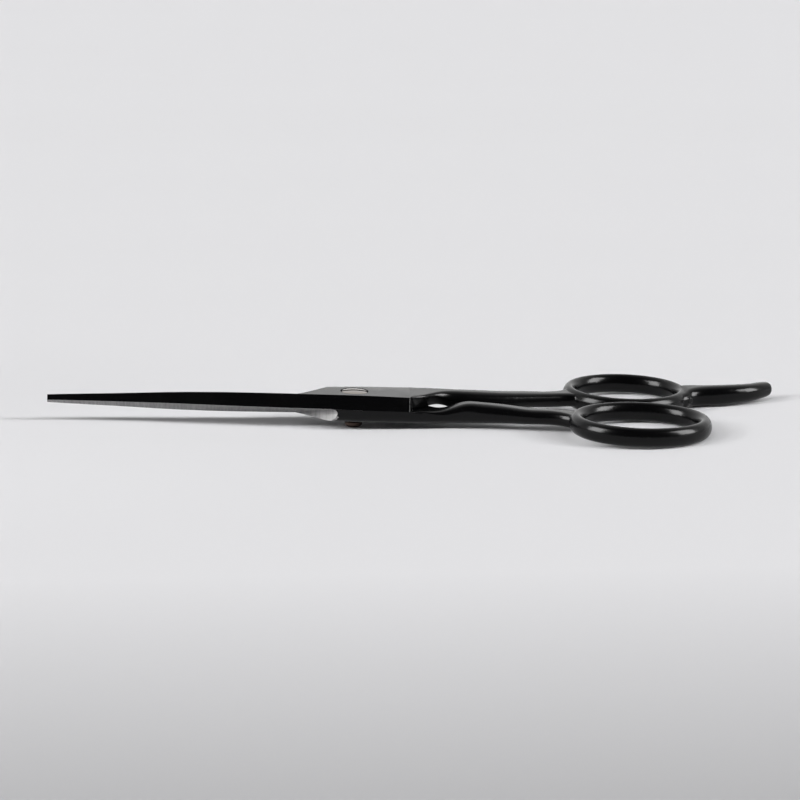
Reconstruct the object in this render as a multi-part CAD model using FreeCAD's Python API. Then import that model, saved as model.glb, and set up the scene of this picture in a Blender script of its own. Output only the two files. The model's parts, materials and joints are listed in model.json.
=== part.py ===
"""Hair cutting shears, 6 inch class, closed and lying on a flat surface.

Everything is modelled in the shears' own frame, in millimetres: the pivot axis is Z, the halves meet
on the plane Z = 0, the blades point to -X, and the handles to +X. At the end each solid is tilted and
lifted so that the shears rest on Z = 0, on the screw's end and the backs of the two rings.
"""
import FreeCAD, Part
import math
import os

Vec = FreeCAD.Vector

# Resting pose
TILT_DEG = 2.1
LIFT = 5.09

# Blades and ricasso
HALF_THICKNESS = 3.1
EDGE_THICKNESS = 0.15
RICASSO_END = 12.6
RICASSO_CORNER_RADIUS = 0.45
INNER_FACE_RADIUS = 16.0
INNER_CLEARANCE = 0.3
PLUNGE_START = (-14.9, -4.4)
PLUNGE_END = (-5.9, 5.0)
PLUNGE_SINK = 0.12
WHEEL_RADIUS = 1.3
WHEEL_WRAP_DEG = 84
HOLLOW_DEPTH = 0.12

# Rings
RING_X = 64.4
RING_Y = 13.9
RING_REACH_Y = 12.4
THUMB_REACH_X = 14.6
FINGER_REACH_X = 13.2
RIM_HALF_WIDTH = 1.4
RIM_HALF_HEIGHT = 2.2

# Pivot
COUNTERBORE_RADIUS = 3.2
COUNTERBORE_FLOOR = 1.4
BUSHING_RADIUS = 2.75
BUSHING_BORE = 2.35
FLANGE_THICKNESS = 0.3
FLANGE_RADIUS = 3.1
WASHER_THICKNESS = 0.15
WASHER_RISE = 0.1
HEAD_RADIUS = 2.95
HEAD_CROWN = 0.28
SLOT_WIDTH = 0.95
SLOT_DEPTH = 0.75
SHOULDER_RADIUS = 2.3
SHOULDER_END = 0.12
THREAD_RADIUS = 2.0
THREAD_CLEARANCE = 0.04
THREAD_PITCH = 0.5
THREAD_DEPTH = 0.2
SCREW_END = -5.04
END_FACE_RADIUS = 1.55

# Rubber bumper
BUMPER_AT = Vec(78.9, 8.6, 0.35)
BUMPER_DIRECTION = Vec(0.5, -0.87, 0.0)
BUMPER_RADIUS = 0.75
BUMPER_DEPTH = 1.4
BUMPER_PROUD = 0.3
BUMPER_ROUNDING = 0.25

# Cutting tools reach this far past the metal.
OVER = 3.0
CEILING = 9.0
REACH = 40.0

# Blade and ricasso stations of the finger half. The spine faces -Y and the cutting edge +Y.
# (x, spine foot, spine shoulder, far side, far shoulder radius)
BODY_STATIONS = (
    (-70.0, -1.00, -0.43, 0.90, 0.3),
    (-58.0, -1.30, -0.73, 1.15, 0.4),
    (-44.0, -1.95, -1.38, 1.80, 0.7),
    (-31.0, -3.10, -2.53, 2.95, 1.2),
    (-17.0, -4.15, -3.55, 4.05, 1.8),
    (-8.0, -4.85, -3.95, 5.00, 1.9),
    (0.0, -5.85, -4.20, 6.00, 1.9),
    (6.0, -6.30, -4.70, 6.25, 1.9),
    (RICASSO_END, -6.60, -5.45, 6.45, 2.0),
)
# Crown of the spine and foot of the ground face: (x, crown y, crown z, edge y)
GRIND_STATIONS = (
    (-76.0, -0.78, 0.90, 0.70),
    (-70.0, -0.80, 1.10, 0.88),
    (-58.0, -1.00, 1.60, 1.13),
    (-44.0, -1.52, 2.30, 1.78),
    (-31.0, -2.57, 2.86, 2.93),
    (-17.0, -3.58, 3.10, 4.03),
    (-4.0, -4.10, 3.20, 5.00),
)
# Hollow of the inner face: (x, near side, far side)
HOLLOW_STATIONS = (
    (-64.0, -0.55, 0.75),
    (-44.0, -1.20, 1.50),
    (-31.0, -2.20, 2.60),
    (-17.0, -3.10, 3.65),
    (-10.0, -3.30, 4.10),
)
# Shank of the finger half: (x, near foot, near shoulder, far side, bottom z, top z,
# near foot radius, near shoulder radius, far shoulder radius, far foot radius)
SHANK_STATIONS = (
    (RICASSO_END, -5.40, -4.98, 6.45, 0.0, 3.10, 0.4, 0.35, 2.0, 0.06),
    (14.5, -2.90, -3.85, 6.40, 0.0, 3.10, 0.5, 0.4, 2.0, 0.2),
    (17.0, -0.30, -2.25, 6.30, 0.0, 3.10, 0.6, 0.6, 2.0, 0.4),
    (20.0, 1.90, -0.50, 6.20, -0.20, 3.04, 0.8, 1.1, 2.0, 0.9),
    (22.4, 2.20, 0.55, 6.30, -1.00, 2.92, 1.1, 1.6, 2.0, 1.3),
    (25.0, 1.80, 1.25, 6.60, -1.85, 2.82, 1.5, 1.8, 2.0, 1.6),
    (28.5, 1.80, 1.80, 7.05, -1.95, 2.65, 1.7, 1.9, 1.9, 1.9),
    (34.0, 2.75, 2.75, 8.10, -1.75, 2.30, 1.8, 1.9, 1.9, 1.8),
    (40.0, 4.40, 4.40, 9.60, -1.45, 1.95, 1.6, 1.65, 1.65, 1.6),
)
# Flare of the shank into its ring, counted from the ring's left edge: (x, near y, far y, half height)
FLARE_STATIONS = (
    (-2.6, 6.40, 11.20, 1.65),
    (0.0, 7.00, 13.00, 1.60),
    (2.4, 6.60, 16.50, 1.55),
    (5.0, 5.20, 20.00, 1.50),
)
# Finger rest: (x, y, z, width, height)
REST_STATIONS = (
    (75.6, 11.8, 0.05, 9.6, 3.8),
    (78.4, 12.8, 0.30, 7.6, 4.3),
    (81.4, 13.1, 0.50, 5.5, 4.6),
    (85.7, 13.0, 0.70, 4.4, 4.7),
    (90.2, 13.7, 0.93, 4.1, 4.4),
    (94.4, 15.6, 1.02, 3.8, 4.0),
    (98.0, 18.7, 1.02, 3.3, 3.5),
)
REST_ROUNDING = 0.44
REST_TIP_LENGTH = 1.9
REST_TIP_SLICES = (0.45, 0.75, 0.93, 0.99)


def corner_arc(corner, before, after, radius):
    """Arc of the radius tangent to the two sides that meet at the corner."""
    to_before = (before - corner).normalize()
    to_after = (after - corner).normalize()
    half_angle = to_before.getAngle(to_after) / 2
    reach = radius / math.tan(half_angle)
    inward = (to_before + to_after).normalize()
    middle = corner + inward * (radius / math.sin(half_angle) - radius)
    return Part.Arc(corner + to_before * reach, middle, corner + to_after * reach)


def rounded_wire(corners, radii):
    """Closed wire through the corners, each rounded by its own radius."""
    count = len(corners)
    arcs = [corner_arc(corners[i], corners[i - 1], corners[(i + 1) % count], radii[i])
            for i in range(count)]
    edges = []
    for i, arc in enumerate(arcs):
        following = arcs[(i + 1) % count]
        edges.append(arc.toShape())
        edges.append(Part.LineSegment(arc.EndPoint, following.StartPoint).toShape())
    return Part.Wire(edges)


def polygon(points):
    return Part.makePolygon(list(points) + [points[0]])


def loft(wires):
    return Part.makeLoft(wires, True)


def cylinder(radius, low, high):
    return Part.makeCylinder(radius, high - low, Vec(0, 0, low), Vec(0, 0, 1))


def body_blank():
    """Blade and ricasso before grinding: full thickness from tip to shank, near corner rounded."""
    wires = []
    for x, spine_foot, spine_top, far, radius in BODY_STATIONS:
        foot = Vec(x, spine_foot, 0)
        spine_shoulder = Vec(x, spine_top, HALF_THICKNESS)
        far_foot = Vec(x, far, 0)
        rounding = corner_arc(Vec(x, far, HALF_THICKNESS), spine_shoulder, far_foot, radius)
        outline = (far_foot, foot, spine_shoulder)
        sides = Part.makePolygon([rounding.EndPoint, *outline, rounding.StartPoint]).Edges
        wires.append(Part.Wire([rounding.toShape()] + sides))
    blank = loft(wires)
    near_corner = Vec(RICASSO_END, (spine_foot + spine_top) / 2, HALF_THICKNESS / 2)
    corner_edge = min(blank.Edges, key=lambda edge: (edge.CenterOfMass - near_corner).Length)
    return blank.makeFillet(RICASSO_CORNER_RADIUS, [corner_edge])


def grinding_tool():
    """Everything above the ground outer face, up to the plunge where the wheel lifts off."""
    wires = []
    for x, crown_y, crown_z, edge_y in GRIND_STATIONS:
        slope = (crown_z - EDGE_THICKNESS) / (edge_y - crown_y)
        near = Vec(x, crown_y - OVER, crown_z + OVER * slope)
        far = Vec(x, edge_y + OVER, EDGE_THICKNESS - OVER * slope)
        wires.append(polygon((near, far, Vec(x, far.y, CEILING), Vec(x, near.y, CEILING))))
    return loft(wires).cut(plunge_keep())


def plunge_keep():
    """Metal that the grinding wheel leaves: its side is the wheel's own radius."""
    level = EDGE_THICKNESS - PLUNGE_SINK
    high = Vec(*PLUNGE_START, HALF_THICKNESS - PLUNGE_SINK)
    low = Vec(*PLUNGE_END, level)
    along = (low - high).normalize()
    edge_x, _, _, edge_y = GRIND_STATIONS[-2]
    to_tip = Vec(edge_x, edge_y, level) - low
    outward = along.cross(to_tip).normalize()
    outward = outward if outward.z > 0 else outward * -1
    across = along.cross(outward)
    wrap = math.radians(WHEEL_WRAP_DEG)

    def at(a, b):
        return high - along * (REACH / 4) + across * a + outward * b

    def on_wheel(angle):
        return at(WHEEL_RADIUS * math.sin(angle), WHEEL_RADIUS * (1 - math.cos(angle)))

    wheel = Part.Arc(at(0, 0), on_wheel(wrap / 2), on_wheel(wrap))
    above = WHEEL_RADIUS + CEILING
    corners = (on_wheel(wrap), at(WHEEL_RADIUS + 1, above), at(REACH, above), at(REACH, -above),
               at(0, -above))
    lines = Part.makePolygon([*corners, at(0, 0)]).Edges
    return Part.Face(Part.Wire([wheel.toShape()] + lines)).extrude(along * REACH)


def hollow_tool():
    """Shallow hollow in the inner face, which leaves a ride line along the spine and the edge."""
    wires = []
    for x, near, far in HOLLOW_STATIONS:
        arc = Part.Arc(Vec(x, near, 0), Vec(x, (near + far) / 2, HOLLOW_DEPTH), Vec(x, far, 0))
        lines = Part.makePolygon([Vec(x, far, 0), Vec(x, far, -1), Vec(x, near, -1), Vec(x, near, 0)])
        wires.append(Part.Wire([arc.toShape()] + lines.Edges))
    return loft(wires)


def shank(ring_left):
    """Shank from the ricasso to its ring, with the flare that blends into the rim."""
    wires = []
    for x, near_foot, near_top, far, low, high, *radii in SHANK_STATIONS:
        corners = (Vec(x, near_foot, low), Vec(x, near_top, high), Vec(x, far, high), Vec(x, far, low))
        wires.append(rounded_wire(corners, radii))
    for step, near, far, half_height in FLARE_STATIONS:
        x = ring_left + step
        corners = (Vec(x, near, -half_height), Vec(x, near, half_height),
                   Vec(x, far, half_height), Vec(x, far, -half_height))
        wires.append(rounded_wire(corners, [half_height * 0.9] * 4))
    return loft(wires)


def other_half_space():
    """Space below the inner face that the other half takes, closed or swinging open."""
    swept = cylinder(INNER_FACE_RADIUS, -CEILING, 0)
    other_near_side = [(x, max(-min(foot, top), 0) + INNER_CLEARANCE)
                       for x, foot, top, *_ in SHANK_STATIONS[1:5]]
    plan = [(0, -REACH), (0, other_near_side[0][1]), *other_near_side, (RING_X, INNER_CLEARANCE),
            (RING_X, -REACH)]
    beside = Part.Face(polygon([Vec(x, y, -CEILING) for x, y in plan])).extrude(Vec(0, 0, CEILING))
    return swept.fuse(beside)


def ring(reach_x):
    """Finger ring: an upright oval section turned about the ring's axis, then drawn out along X."""
    section = Part.Ellipse(Vec(RING_REACH_Y, 0, RIM_HALF_HEIGHT), Vec(RING_REACH_Y + RIM_HALF_WIDTH, 0, 0),
                           Vec(RING_REACH_Y, 0, 0))
    rim = Part.Face(Part.Wire(section.toShape())).revolve(Vec(0, 0, 0), Vec(0, 0, 1), 360)
    stretch = FreeCAD.Matrix()
    stretch.A11 = reach_x / RING_REACH_Y
    rim = rim.transformGeometry(stretch)
    rim.translate(Vec(RING_X, RING_Y, 0))
    return Part.Solid(rim.Shells[0])


def rim_core(reach_x):
    """Oval prism inside the rim's centre line: it trims what would stand in the finger hole."""
    oval = Part.Ellipse(Vec(RING_X, RING_Y, -CEILING), reach_x, RING_REACH_Y)
    return Part.Face(Part.Wire(oval.toShape())).extrude(Vec(0, 0, 2 * CEILING))


def rest_section(middle, heading, width, height):
    """Rounded section of the finger rest, upright and square to its heading."""
    side = Vec(-heading.y, heading.x, 0) * (width / 2)
    up = Vec(0, 0, height / 2)
    corners = (middle - side - up, middle - side + up, middle + side + up, middle + side - up)
    return rounded_wire(corners, [min(width, height) * REST_ROUNDING] * 4)


def finger_rest():
    """Curved tang behind the finger ring, with a rounded end."""
    wires = []
    points = [Vec(x, y, z) for x, y, z, _, _ in REST_STATIONS]
    for i, (_, _, _, width, height) in enumerate(REST_STATIONS):
        chord = points[min(i + 1, len(points) - 1)] - points[max(i - 1, 0)]
        heading = Vec(chord.x, chord.y, 0).normalize()
        wires.append(rest_section(points[i], heading, width, height))
    for step in REST_TIP_SLICES:
        shrink = math.sqrt(1 - step * step)
        middle = points[-1] + heading * (REST_TIP_LENGTH * step)
        wires.append(rest_section(middle, heading, width * shrink, height * shrink))
    return loft(wires)


def half(reach_x):
    """One forged half in the finger half's position, without its pivot hole."""
    ring_left = RING_X - reach_x - RIM_HALF_WIDTH * reach_x / RING_REACH_Y
    blade = body_blank().cut(grinding_tool()).cut(hollow_tool())
    handle = shank(ring_left).cut(rim_core(reach_x)).cut(other_half_space())
    return blade.fuse(handle).fuse(ring(reach_x))


def upper_half():
    rest = finger_rest().cut(rim_core(FINGER_REACH_X))
    shape = half(FINGER_REACH_X).fuse(rest)
    shape = shape.cut(cylinder(COUNTERBORE_RADIUS, COUNTERBORE_FLOOR, CEILING))
    shape = shape.cut(cylinder(BUSHING_RADIUS, -CEILING, CEILING))
    return shape.cut(bumper_socket())


def lower_half():
    shape = half(THUMB_REACH_X)
    shape.rotate(Vec(0, 0, 0), Vec(1, 0, 0), 180)
    return shape.cut(cylinder(THREAD_RADIUS + THREAD_CLEARANCE, -CEILING, CEILING))


def pivot_bushing():
    """Flanged nylon bushing, pressed into the finger half."""
    sleeve = cylinder(BUSHING_RADIUS, 0.1, COUNTERBORE_FLOOR)
    flange = cylinder(FLANGE_RADIUS, COUNTERBORE_FLOOR, COUNTERBORE_FLOOR + FLANGE_THICKNESS)
    return sleeve.fuse(flange).cut(cylinder(BUSHING_BORE, -CEILING, CEILING)).removeSplitter()


def washer_seat():
    return COUNTERBORE_FLOOR + FLANGE_THICKNESS


def head_seat():
    return washer_seat() + WASHER_THICKNESS + WASHER_RISE


def spring_washer():
    """Dished washer under the head: a thin cone that the screw presses towards flat."""
    inner = BUSHING_BORE + 0.05
    outer = HEAD_RADIUS
    low = washer_seat()
    profile = polygon((Vec(outer, 0, low), Vec(outer, 0, low + WASHER_THICKNESS),
                       Vec(inner, 0, head_seat()), Vec(inner, 0, low + WASHER_RISE)))
    return Part.Face(profile).revolve(Vec(0, 0, 0), Vec(0, 0, 1), 360)


def screw_profile():
    """Right-hand outline of the screw, from the crown down to the end face."""
    seat = head_seat()
    rim_top = HALF_THICKNESS - 0.02
    crown_top = rim_top + HEAD_CROWN
    chamfer = THREAD_RADIUS - END_FACE_RADIUS
    crown = Part.Arc(Vec(0, 0, crown_top), Vec(HEAD_RADIUS * 0.52, 0, crown_top - HEAD_CROWN * 0.27),
                     Vec(HEAD_RADIUS - 0.1, 0, rim_top)).toShape()
    points = [Vec(HEAD_RADIUS - 0.1, 0, rim_top), Vec(HEAD_RADIUS, 0, rim_top - 0.1),
              Vec(HEAD_RADIUS, 0, seat),
              Vec(SHOULDER_RADIUS, 0, seat), Vec(SHOULDER_RADIUS, 0, SHOULDER_END),
              Vec(THREAD_RADIUS, 0, SHOULDER_END - 0.1)]
    level = -HALF_THICKNESS + THREAD_PITCH
    while level > SCREW_END + chamfer + THREAD_PITCH:
        points.append(Vec(THREAD_RADIUS, 0, level))
        points.append(Vec(THREAD_RADIUS - THREAD_DEPTH, 0, level - THREAD_PITCH * 0.4))
        points.append(Vec(THREAD_RADIUS, 0, level - THREAD_PITCH * 0.8))
        level -= THREAD_PITCH
    points.append(Vec(THREAD_RADIUS, 0, SCREW_END + chamfer))
    points.append(Vec(END_FACE_RADIUS, 0, SCREW_END))
    points.append(Vec(0, 0, SCREW_END))
    points.append(Vec(0, 0, crown_top))
    return Part.Wire([crown] + Part.makePolygon(points).Edges)


def pivot_screw():
    """Slotted shoulder screw with a low crowned head and a chamfered end."""
    screw = Part.Face(screw_profile()).revolve(Vec(0, 0, 0), Vec(0, 0, 1), 360)
    corner = Vec(-REACH / 2, -SLOT_WIDTH / 2, HALF_THICKNESS - SLOT_DEPTH)
    slot = Part.makeBox(REACH, SLOT_WIDTH, CEILING, corner)
    return screw.cut(slot)


def bumper_socket():
    outside = BUMPER_AT + BUMPER_DIRECTION * OVER
    return Part.makeCylinder(BUMPER_RADIUS, BUMPER_DEPTH + OVER, outside, BUMPER_DIRECTION * -1)


def rubber_bumper():
    """Small domed plug pressed into the root of the finger rest."""
    inward = BUMPER_DIRECTION * -1
    base = BUMPER_AT + BUMPER_DIRECTION * BUMPER_PROUD
    plug = Part.makeCylinder(BUMPER_RADIUS, BUMPER_DEPTH + BUMPER_PROUD, base, inward)
    end_edge = min(plug.Edges, key=lambda edge: (edge.CenterOfMass - base).Length)
    return plug.makeFillet(BUMPER_ROUNDING, [end_edge])


def place(shape):
    """Tilt and lift a solid from the shears' frame to the resting pose."""
    shape = shape.removeSplitter()
    shape.rotate(Vec(0, 0, 0), Vec(0, 1, 0), TILT_DEG)
    shape.translate(Vec(0, 0, LIFT))
    return shape


PIECES = {
    "upper_half": upper_half,
    "lower_half": lower_half,
    "pivot_screw": pivot_screw,
    "spring_washer": spring_washer,
    "pivot_bushing": pivot_bushing,
    "rubber_bumper": rubber_bumper,
}

os.makedirs("parts", exist_ok=True)
for name, make in PIECES.items():
    piece = place(make())
    box = piece.BoundBox
    print(f"{name}: valid {piece.isValid()}, solids {len(piece.Solids)}, volume {piece.Volume:.1f} mm3")
    print(f"  {box.XLength:.2f} x {box.YLength:.2f} x {box.ZLength:.2f} mm")
    piece.exportStep(f"parts/{name}.step")
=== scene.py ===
"""Studio scene of the hair cutting shears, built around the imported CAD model, in metres."""
import json
import math

import bmesh
import bpy
from mathutils import Matrix, Vector


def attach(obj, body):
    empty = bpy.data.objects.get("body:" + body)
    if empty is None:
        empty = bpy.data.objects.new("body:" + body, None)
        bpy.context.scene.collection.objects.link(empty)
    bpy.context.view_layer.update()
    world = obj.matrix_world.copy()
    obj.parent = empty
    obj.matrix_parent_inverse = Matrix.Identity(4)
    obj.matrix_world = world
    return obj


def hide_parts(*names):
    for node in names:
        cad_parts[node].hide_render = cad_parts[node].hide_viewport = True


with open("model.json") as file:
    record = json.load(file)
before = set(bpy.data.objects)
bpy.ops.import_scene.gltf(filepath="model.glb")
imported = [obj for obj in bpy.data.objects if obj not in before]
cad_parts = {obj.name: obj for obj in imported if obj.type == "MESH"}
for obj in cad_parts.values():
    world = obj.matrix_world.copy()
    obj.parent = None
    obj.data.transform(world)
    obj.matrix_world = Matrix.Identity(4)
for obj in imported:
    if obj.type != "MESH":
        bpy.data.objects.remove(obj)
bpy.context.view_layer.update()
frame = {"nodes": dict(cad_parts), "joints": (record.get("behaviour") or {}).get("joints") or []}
NODES = frame["nodes"]
PIVOT = next(joint for joint in frame["joints"] if joint["name"] == "blade_pivot")
MM = 0.001

# The shears' own frame: origin on the pivot where the halves meet, Z along the pivot axis.
PIVOT_AT = Vector(PIVOT["pos_m"])
PIVOT_AXIS = Vector(PIVOT["axis"])
TILT = math.atan2(PIVOT_AXIS.x, PIVOT_AXIS.z)
TO_SHEARS = Matrix.Rotation(-TILT, 4, "Y") @ Matrix.Translation(-PIVOT_AT)
TO_UPPER = Matrix.Identity(4)
TO_LOWER = Matrix.Rotation(math.pi, 4, "X")

# Where the bare faces end, in each half's own frame
PLUNGE_START = Vector((-14.9, -4.4)) * MM
PLUNGE_END = Vector((-5.9, 5.0)) * MM
PLUNGE_WIDTH = 1.22 * MM
INNER_FACE_END = 12.3 * MM
INNER_FACE_DEPTH = 0.3 * MM
TIP_X = -69.5 * MM
SMOOTH_ANGLE = math.radians(40)

# Paper under the shears
SWELL_X = -78.0 * MM
SWELL_LENGTH = 74.0 * MM
SWELL_WIDTH = 90.0 * MM
SWELL_HEIGHT = 1.7 * MM
FLOOR_STEP = 0.005
FLOOR_STEPS = 60
FLOOR_REACH = 6.0

# Colours
COATING = (0.0016, 0.0016, 0.0018, 1)
GROUND_DARK = (0.17, 0.17, 0.172, 1)
GROUND_LIGHT = (0.42, 0.415, 0.41, 1)
HONED_DARK = (0.5, 0.5, 0.5, 1)
HONED_LIGHT = (0.68, 0.67, 0.66, 1)
SCREW_POLISHED = (0.27, 0.245, 0.225, 1)
# painted shade: the screw's end under the blades, darkened as if in the shears' shadow
SCREW_PAINTED_SHADE = (0.085, 0.06, 0.05, 1)
SPRING = (0.3, 0.28, 0.26, 1)
NYLON = (0.62, 0.6, 0.55, 1)
RUBBER = (0.002, 0.002, 0.002, 1)
PAPER_PALE = (0.8, 0.798, 0.815, 1)
# painted shade: the paper towards the front, where the light falls off
PAPER_PAINTED_SHADE = (0.17, 0.17, 0.173, 1)
BACKDROP = (0.755, 0.755, 0.765, 1)

# Tool lines on bare steel: stretch of the pattern along X, Y and Z, and its turn about Z
GRIND_LINES = (1.0, 0.06, 0.06)
GRIND_TURN = math.radians(-52)
HONE_LINES = (0.05, 1.0, 1.0)
HONE_TURN = 0.0
# Where the screw turns dull below the blades and painted shade darkens its colour
DULL_AND_SHADE_FROM = 2.2 * MM
DULL_AND_SHADE_TO = 1.6 * MM

# Lights: a row of suns in front and above, and a softbox on each side
SUNS_SIDEWAYS = (-1.1, -0.65, -0.2, 0.25, 0.7, 1.15)
SUNS_FORWARD = -0.42
SUNS_UP = 0.49
SUN_ON_FLOOR = 0.4
SUN_ANGLE = math.radians(9)
BOX_SIDEWAYS = 1.1
BOX_FORWARD = -0.35
BOX_UP = 0.55
BOX_WIDTH = 0.6
BOX_HEIGHT = 0.8
BOX_POWER = 26.0
BOX_AIM = Vector((0.02, 0, 0))
WORLD_FRONT = 0.015
WORLD_BACK = 1.35
WORLD_ON_DULL = 0.22

# Camera
VIEW_ELEVATION = math.radians(13.8)
VIEW_TURN = math.radians(3.8)
VIEW_DISTANCE = 0.85
VIEW_AIM = Vector((10.51, -1.18, 6.19)) * MM
LENS = 167.0

# Sockets of the Mix node, by number because its kinds of value share names
MIX_FACTOR = 0
MIX_FLOAT_A = 2
MIX_FLOAT_B = 3
MIX_FLOAT_RESULT = 0
MIX_COLOR_A = 6
MIX_COLOR_B = 7
MIX_COLOR_RESULT = 2


def node_tree(name):
    material = bpy.data.materials.new(name)
    material.use_nodes = True
    tree = material.node_tree
    return material, tree, tree.nodes["Principled BSDF"]


def add(tree, kind, **settings):
    """New node; a setting that names an input sets its value, any other is an attribute."""
    node = tree.nodes.new(kind)
    for key, value in settings.items():
        if key in node.inputs:
            node.inputs[key].default_value = value
        else:
            setattr(node, key, value)
    return node


def position(tree, scale=(1, 1, 1), turn=0.0):
    """Object coordinates in the shears' resting place, turned about Z and stretched."""
    coords = add(tree, "ShaderNodeTexCoord")
    mapping = add(tree, "ShaderNodeMapping", Scale=scale, Rotation=(0, 0, turn))
    tree.links.new(coords.outputs["Object"], mapping.inputs["Vector"])
    return mapping.outputs["Vector"]


def blend(tree, factor, low_color, high_color, shader):
    """Base colour that runs from one colour to the other with the factor."""
    mix = add(tree, "ShaderNodeMix", data_type="RGBA")
    mix.inputs[MIX_COLOR_A].default_value = low_color
    mix.inputs[MIX_COLOR_B].default_value = high_color
    tree.links.new(factor, mix.inputs[MIX_FACTOR])
    tree.links.new(mix.outputs[MIX_COLOR_RESULT], shader.inputs["Base Color"])


def object_axis(tree, axis):
    coords = add(tree, "ShaderNodeTexCoord")
    parts = add(tree, "ShaderNodeSeparateXYZ")
    tree.links.new(coords.outputs["Object"], parts.inputs[0])
    return parts.outputs[axis]


def noise(tree, vector, scale, detail, roughness):
    node = add(tree, "ShaderNodeTexNoise", Scale=scale, Detail=detail, Roughness=roughness)
    tree.links.new(vector, node.inputs["Vector"])
    return node.outputs["Fac"]


def ramp(tree, value, low, high, result_low, result_high):
    """The value from low to high, turned into the results and held beyond them."""
    node = add(tree, "ShaderNodeMapRange")
    node.inputs["From Min"].default_value = low
    node.inputs["From Max"].default_value = high
    node.inputs["To Min"].default_value = result_low
    node.inputs["To Max"].default_value = result_high
    tree.links.new(value, node.inputs["Value"])
    return node.outputs["Result"]


def bump(tree, shader, height, strength, distance):
    node = add(tree, "ShaderNodeBump", Strength=strength, Distance=distance)
    tree.links.new(height, node.inputs["Height"])
    tree.links.new(node.outputs["Normal"], shader.inputs["Normal"])


def black_coating():
    """Satin-gloss black coating over forged steel, with faint handling marks."""
    material, tree, shader = node_tree("black_coating")
    shader.inputs["Base Color"].default_value = COATING
    shader.inputs["IOR"].default_value = 1.28
    smears = noise(tree, position(tree), 160.0, 3.0, 0.5)
    tree.links.new(ramp(tree, smears, 0.3, 0.7, 0.19, 0.23), shader.inputs["Roughness"])
    grain = noise(tree, position(tree), 7000.0, 2.0, 0.5)
    bump(tree, shader, grain, 0.03, 0.000003)
    return material


def lined_steel(name, scale, turn, dark, light, low_roughness, high_roughness, metallic):
    """Bare steel with fine parallel tool lines."""
    material, tree, shader = node_tree(name)
    shader.inputs["Metallic"].default_value = metallic
    lines = noise(tree, position(tree, scale, turn), 9000.0, 3.0, 0.65)
    broad = noise(tree, position(tree, scale, turn), 2200.0, 2.0, 0.5)
    cloud = noise(tree, position(tree), 300.0, 3.0, 0.5)
    both = add(tree, "ShaderNodeMath", operation="MULTIPLY_ADD")
    both.inputs[1].default_value = 0.5
    tree.links.new(lines, both.inputs[0])
    tree.links.new(ramp(tree, broad, 0.25, 0.75, 0.0, 0.5), both.inputs[2])
    blend(tree, both.outputs[0], dark, light, shader)
    polish = ramp(tree, cloud, 0.3, 0.7, low_roughness, high_roughness)
    tree.links.new(polish, shader.inputs["Roughness"])
    bump(tree, shader, lines, 0.3, 0.000008)
    return material


def metal(name, color, low_roughness, high_roughness):
    """Metal with uneven polish."""
    material, tree, shader = node_tree(name)
    shader.inputs["Base Color"].default_value = color
    shader.inputs["Metallic"].default_value = 1.0
    wear = noise(tree, position(tree), 900.0, 4.0, 0.6)
    polish = ramp(tree, wear, 0.3, 0.7, low_roughness, high_roughness)
    tree.links.new(polish, shader.inputs["Roughness"])
    bump(tree, shader, wear, 0.1, 0.00001)
    return material


def screw_steel():
    """Turned stainless screw: polished head; dull below the blades, where painted shade darkens its
    colour as the shears' shadow would.
    """
    material, tree, shader = node_tree("screw_steel")
    shader.inputs["Metallic"].default_value = 1.0
    below = ramp(tree, object_axis(tree, "Z"), DULL_AND_SHADE_FROM, DULL_AND_SHADE_TO, 0.0, 1.0)
    rings = add(tree, "ShaderNodeTexWave", wave_type="RINGS", rings_direction="Z")
    rings.inputs["Scale"].default_value = 2500.0
    rings.inputs["Distortion"].default_value = 1.5
    tree.links.new(position(tree), rings.inputs["Vector"])
    # painted shade: darker colour below the blades, standing in for the shears' shadow
    blend(tree, below, SCREW_POLISHED, SCREW_PAINTED_SHADE, shader)
    tree.links.new(ramp(tree, below, 0.0, 1.0, 0.2, 0.5), shader.inputs["Roughness"])
    bump(tree, shader, rings.outputs["Fac"], 0.12, 0.000006)
    return material


def plastic(name, color, ior, low_roughness, high_roughness):
    """Matte plastic or rubber with a fine grain."""
    material, tree, shader = node_tree(name)
    shader.inputs["Base Color"].default_value = color
    shader.inputs["IOR"].default_value = ior
    grain = noise(tree, position(tree), 3500.0, 3.0, 0.6)
    gloss = ramp(tree, grain, 0.3, 0.7, low_roughness, high_roughness)
    tree.links.new(gloss, shader.inputs["Roughness"])
    bump(tree, shader, grain, 0.25, 0.00002)
    return material


def smooth_by_angle(mesh, angle):
    """Smooth shading with sharp edges where faces meet at more than the angle."""
    work = bmesh.new()
    work.from_mesh(mesh)
    for face in work.faces:
        face.smooth = True
    for edge in work.edges:
        edge.smooth = edge.is_boundary or edge.calc_face_angle(0.0) < angle
    work.to_mesh(mesh)
    work.free()


def on_inner_face(at, normal):
    return normal.z < -0.8 and at.z < INNER_FACE_DEPTH


def on_ground_face(at, normal):
    """On the outer face or in the plunge, given in the half's own frame."""
    along = (PLUNGE_END - PLUNGE_START).normalized()
    past_plunge = (at.xy - PLUNGE_START).dot(Vector((along.y, -along.x)))
    outer = normal.z > 0.3 and normal.y > 0.1
    return (outer or normal.x < -0.25) and past_plunge < PLUNGE_WIDTH and at.x > TIP_X


def bare_slot(at, normal):
    """Material slot of a face: 0 coated, 1 ground, 2 honed."""
    if on_inner_face(at, normal):
        return 2 if at.x < INNER_FACE_END else 0
    return 1 if on_ground_face(at, normal) else 0


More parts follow.
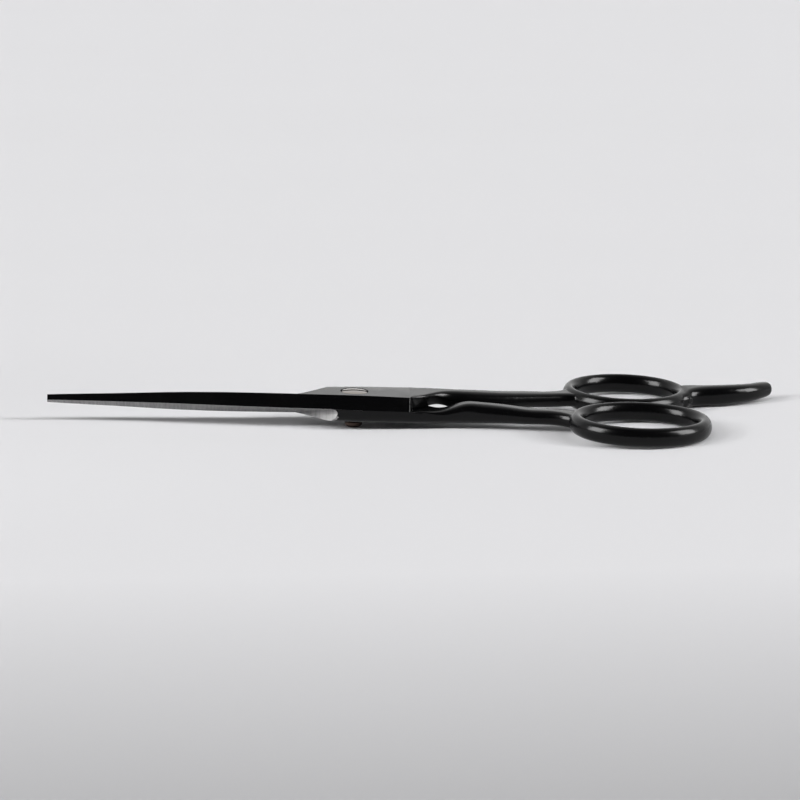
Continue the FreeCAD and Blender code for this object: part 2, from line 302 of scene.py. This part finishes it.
def cut_inner_face(mesh, to_half):
    """Edge loop across the inner face, where its bare steel ends."""
    turn = to_half.to_3x3()
    work = bmesh.new()
    work.from_mesh(mesh)
    bmesh.ops.remove_doubles(work, verts=work.verts, dist=1e-6)
    inner = [face for face in work.faces
             if on_inner_face(to_half @ face.calc_center_median(), turn @ face.normal)]
    parts = {part for face in inner for part in (face, *face.edges, *face.verts)}
    end = to_half.inverted() @ Vector((INNER_FACE_END, 0, 0))
    across = turn.transposed() @ Vector((1, 0, 0))
    bmesh.ops.bisect_plane(work, geom=list(parts), dist=1e-7, plane_co=end, plane_no=across)
    work.to_mesh(mesh)
    work.free()


def half_skin(name, to_own):
    """Shown skin of a forged half: the CAD shape, with coated and bare faces told apart."""
    mesh = NODES[name].data.copy()
    to_half = to_own @ TO_SHEARS
    turn = to_half.to_3x3()
    cut_inner_face(mesh, to_half)
    smooth_by_angle(mesh, SMOOTH_ANGLE)
    mesh.materials.clear()
    for material in (BLACK, GROUND, HONED):
        mesh.materials.append(material)
    for face in mesh.polygons:
        face.material_index = bare_slot(to_half @ face.center, turn @ face.normal)
    skin = bpy.data.objects.new(name + "_skin", mesh)
    bpy.context.scene.collection.objects.link(skin)
    return skin


def show_half(name, body, to_own):
    skin = half_skin(name, to_own)
    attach(skin, body)
    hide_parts(name)


def finish_node(name, material):
    node = NODES[name]
    node.data.materials.clear()
    node.data.materials.append(material)


def paper_height(x, y):
    """Low swelling of the paper, flat before it reaches the screw."""
    along = min(abs(x - SWELL_X) / SWELL_LENGTH, 1.0)
    across = min(abs(y) / SWELL_WIDTH, 1.0)
    return SWELL_HEIGHT * (math.cos(along * math.pi / 2) * math.cos(across * math.pi / 2)) ** 2


def make_floor():
    """Pale paper, slightly swollen under the blades, with painted shade darkening it towards the front.
    """
    fine = [FLOOR_STEP * step for step in range(-FLOOR_STEPS, FLOOR_STEPS + 1)]
    lines = [-FLOOR_REACH, *fine, FLOOR_REACH]
    vertices = [(x, y, paper_height(x, y)) for y in lines for x in lines]
    count = len(lines)
    faces = [(row * count + i, row * count + i + 1, (row + 1) * count + i + 1, (row + 1) * count + i)
             for row in range(count - 1) for i in range(count - 1)]
    mesh = bpy.data.meshes.new("floor")
    mesh.from_pydata(vertices, [], faces)
    for face in mesh.polygons:
        face.use_smooth = True
    floor = bpy.data.objects.new("floor", mesh)
    bpy.context.scene.collection.objects.link(floor)
    material, tree, shader = node_tree("floor_paper")
    # painted shade: the paper's colour darkens towards the front, standing in for the light's falloff
    front = ramp(tree, object_axis(tree, "Y"), -0.12, -0.4, 0.0, 1.0)
    blend(tree, front, PAPER_PALE, PAPER_PAINTED_SHADE, shader)
    shader.inputs["Roughness"].default_value = 0.9
    shader.inputs["Specular IOR Level"].default_value = 0.1
    mesh.materials.append(material)


def aim(obj, target):
    obj.rotation_mode = "QUATERNION"
    obj.rotation_quaternion = (target - obj.location).to_track_quat("-Z", "Y")


def sun(name, direction, strength):
    """Even light from a direction, left out of reflections."""
    data = bpy.data.lights.new(name, "SUN")
    data.energy = strength
    data.angle = SUN_ANGLE
    light = bpy.data.objects.new(name, data)
    bpy.context.scene.collection.objects.link(light)
    light.location = Vector(direction)
    aim(light, Vector())
    light.visible_glossy = False


def softbox(name, sideways):
    """Soft rectangular light that shows only in reflections."""
    data = bpy.data.lights.new(name, "AREA")
    data.shape = "RECTANGLE"
    data.size = BOX_WIDTH
    data.size_y = BOX_HEIGHT
    data.energy = BOX_POWER
    light = bpy.data.objects.new(name, data)
    bpy.context.scene.collection.objects.link(light)
    light.location = Vector((sideways, BOX_FORWARD, BOX_UP))
    aim(light, BOX_AIM)
    light.visible_diffuse = False


def make_lights():
    for i, sideways in enumerate(SUNS_SIDEWAYS):
        towards = Vector((sideways, SUNS_FORWARD, SUNS_UP))
        sun(f"strip_{i}", towards, SUN_ON_FLOOR * towards.length / towards.z)
    softbox("box_left", -BOX_SIDEWAYS)
    softbox("box_right", BOX_SIDEWAYS)


def make_world():
    """Pale surroundings: bright behind the shears, dark on the camera's side, as gloss sees them."""
    world = bpy.data.worlds.new("studio")
    bpy.context.scene.world = world
    world.use_nodes = True
    tree = world.node_tree
    tree.nodes.clear()
    coords = add(tree, "ShaderNodeTexCoord")
    parts = add(tree, "ShaderNodeSeparateXYZ")
    tree.links.new(coords.outputs["Generated"], parts.inputs[0])
    back = ramp(tree, parts.outputs["Y"], -0.25, 0.55, WORLD_FRONT, WORLD_BACK)
    path = add(tree, "ShaderNodeLightPath")
    strength = add(tree, "ShaderNodeMix", data_type="FLOAT")
    strength.inputs[MIX_FLOAT_B].default_value = WORLD_ON_DULL
    tree.links.new(path.outputs["Is Diffuse Ray"], strength.inputs[MIX_FACTOR])
    tree.links.new(back, strength.inputs[MIX_FLOAT_A])
    around = add(tree, "ShaderNodeBackground")
    tree.links.new(strength.outputs[MIX_FLOAT_RESULT], around.inputs["Strength"])
    shown = add(tree, "ShaderNodeBackground", Color=BACKDROP, Strength=1.0)
    mix = add(tree, "ShaderNodeMixShader")
    out = add(tree, "ShaderNodeOutputWorld")
    tree.links.new(path.outputs["Is Camera Ray"], mix.inputs[0])
    tree.links.new(around.outputs[0], mix.inputs[1])
    tree.links.new(shown.outputs[0], mix.inputs[2])
    tree.links.new(mix.outputs[0], out.inputs[0])


def make_camera():
    data = bpy.data.cameras.new("camera")
    data.lens = LENS
    data.sensor_width = 36.0
    data.clip_start = 0.01
    data.clip_end = 50.0
    camera = bpy.data.objects.new("camera", data)
    bpy.context.scene.collection.objects.link(camera)
    flat = math.cos(VIEW_ELEVATION)
    heading = Vector((math.sin(VIEW_TURN) * flat, math.cos(VIEW_TURN) * flat, -math.sin(VIEW_ELEVATION)))
    camera.location = VIEW_AIM - heading * VIEW_DISTANCE
    camera.rotation_mode = "QUATERNION"
    camera.rotation_quaternion = heading.to_track_quat("-Z", "Y")
    bpy.context.scene.camera = camera


BLACK = black_coating()
GROUND = lined_steel("ground_steel", GRIND_LINES, GRIND_TURN, GROUND_DARK, GROUND_LIGHT, 0.5, 0.62, 0.8)
HONED = lined_steel("honed_steel", HONE_LINES, HONE_TURN, HONED_DARK, HONED_LIGHT, 0.2, 0.3, 1.0)
show_half("upper_half", "upper_blade", TO_UPPER)
show_half("lower_half", "lower_blade", TO_LOWER)
finish_node("pivot_screw", screw_steel())
finish_node("spring_washer", metal("spring_steel", SPRING, 0.3, 0.45))
finish_node("pivot_bushing", plastic("nylon", NYLON, 1.53, 0.4, 0.55))
finish_node("rubber_bumper", plastic("bumper_rubber", RUBBER, 1.3, 0.3, 0.5))
make_floor()
make_lights()
make_world()
make_camera()
bpy.context.scene.view_settings.view_transform = "Standard"
